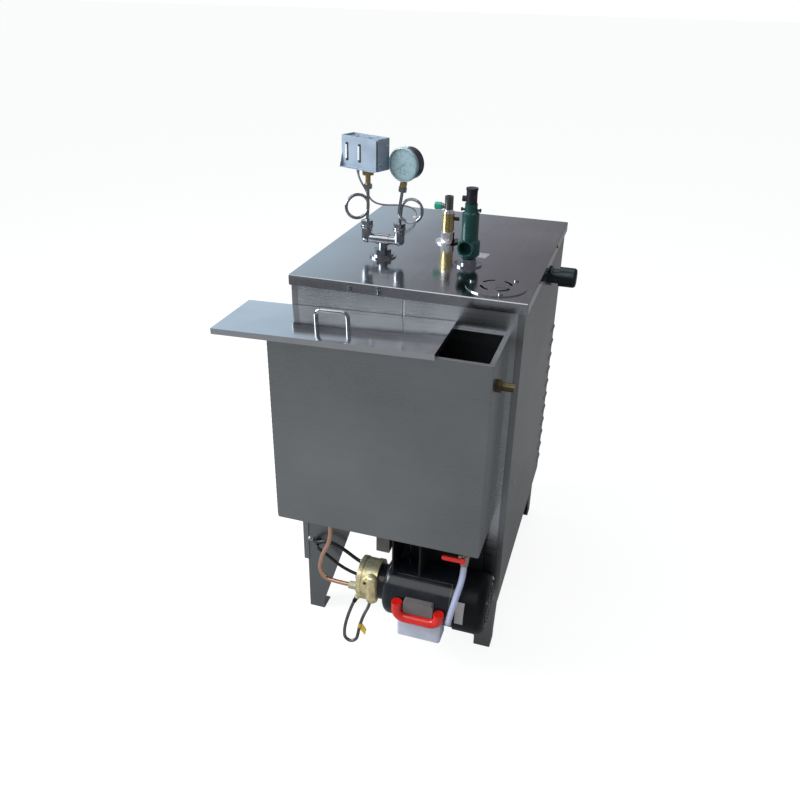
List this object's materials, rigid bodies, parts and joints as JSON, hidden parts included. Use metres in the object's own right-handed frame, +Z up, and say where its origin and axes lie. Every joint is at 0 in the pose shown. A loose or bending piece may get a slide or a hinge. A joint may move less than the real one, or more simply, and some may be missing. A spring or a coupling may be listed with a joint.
{
  "type": "small electric steam boiler",
  "caption": "Free-standing electric steam boiler in a stainless cabinet on four legs, with a feed water tank at the front, a pump below it and steam fittings on the cover.",
  "frame": {"origin": "on the floor, under the middle of the box round the whole boiler without its free hoses and leads", "axes": "+X to the right seen from the front, +Y to the back, +Z up"},
  "size_m": [0.589, 0.7072, 1.0353],
  "materials": {
    "stainless_sheet": "brushed",
    "polished_tube": "polished",
    "instrument_case": "satin",
    "brass_fittings": "cast and machined",
    "green_valve_paint": "semi-gloss",
    "black_plastic": "matte",
    "motor_paint": "gloss",
    "green_plastic": "gloss",
    "red_plastic": "gloss",
    "white_plastic": "satin",
    "grey_plastic": "satin",
    "copper": "drawn",
    "braid": "braided",
    "clear_hose": "translucent"
  },
  "bodies": {
    "boiler": {"base_frame": "stainless_sheet", "boiler_drum": "stainless_sheet", "braided_hose": "braid", "cabinet_floor": "stainless_sheet", "copper_pipe": "copper", "drain_hose": "clear_hose", "drain_valve": "brass_fittings", "fan_cowl": "motor_paint", "front_panel": "stainless_sheet", "gauge_case": "instrument_case", "gauge_stem": "brass_fittings", "hatch_plate": "stainless_sheet", "leg_front_left": "stainless_sheet", "leg_front_right": "stainless_sheet", "leg_rear_left": "stainless_sheet", "leg_rear_right": "stainless_sheet", "lid_handle": "polished_tube", "manifold": "polished_tube", "motor_body": "motor_paint", "motor_box": "white_plastic", "motor_box_lid": "grey_plastic", "motor_bracket": "stainless_sheet", "motor_handle": "red_plastic", "motor_lead_lower": "black_plastic", "motor_lead_upper": "black_plastic", "pressure_switch": "instrument_case", "pump_body": "brass_fittings", "rear_panel": "stainless_sheet", "safety_valve_body": "green_valve_paint", "safety_valve_cap": "black_plastic", "safety_valve_foot": "stainless_sheet", "side_coupling": "stainless_sheet", "side_panel_left": "stainless_sheet", "side_panel_right": "stainless_sheet", "siphon_left": "polished_tube", "siphon_right": "polished_tube", "steam_valve": "brass_fittings", "switch_cable": "grey_plastic", "switch_fitting": "brass_fittings", "tank_lid": "stainless_sheet", "tank_outlet": "brass_fittings", "tank_shell": "stainless_sheet", "top_cover": "stainless_sheet"},
    "steam_handle": {"steam_valve_handle": "green_plastic"},
    "drain_lever": {"drain_valve_lever": "red_plastic"}
  },
  "joints": [
    {"name": "steam_valve_turn", "type": "hinge", "parent": "boiler", "child": "steam_handle", "pos_m": [0.0022, 0.1025, 0.881], "axis": [1, 0, 0], "range_deg": [0, 90]},
    {"name": "drain_valve_turn", "type": "hinge", "parent": "boiler", "child": "drain_lever", "pos_m": [0.1815, -0.3318, 0.331], "axis": [0, -1, 0], "range_deg": [0, 90]}
  ]
}
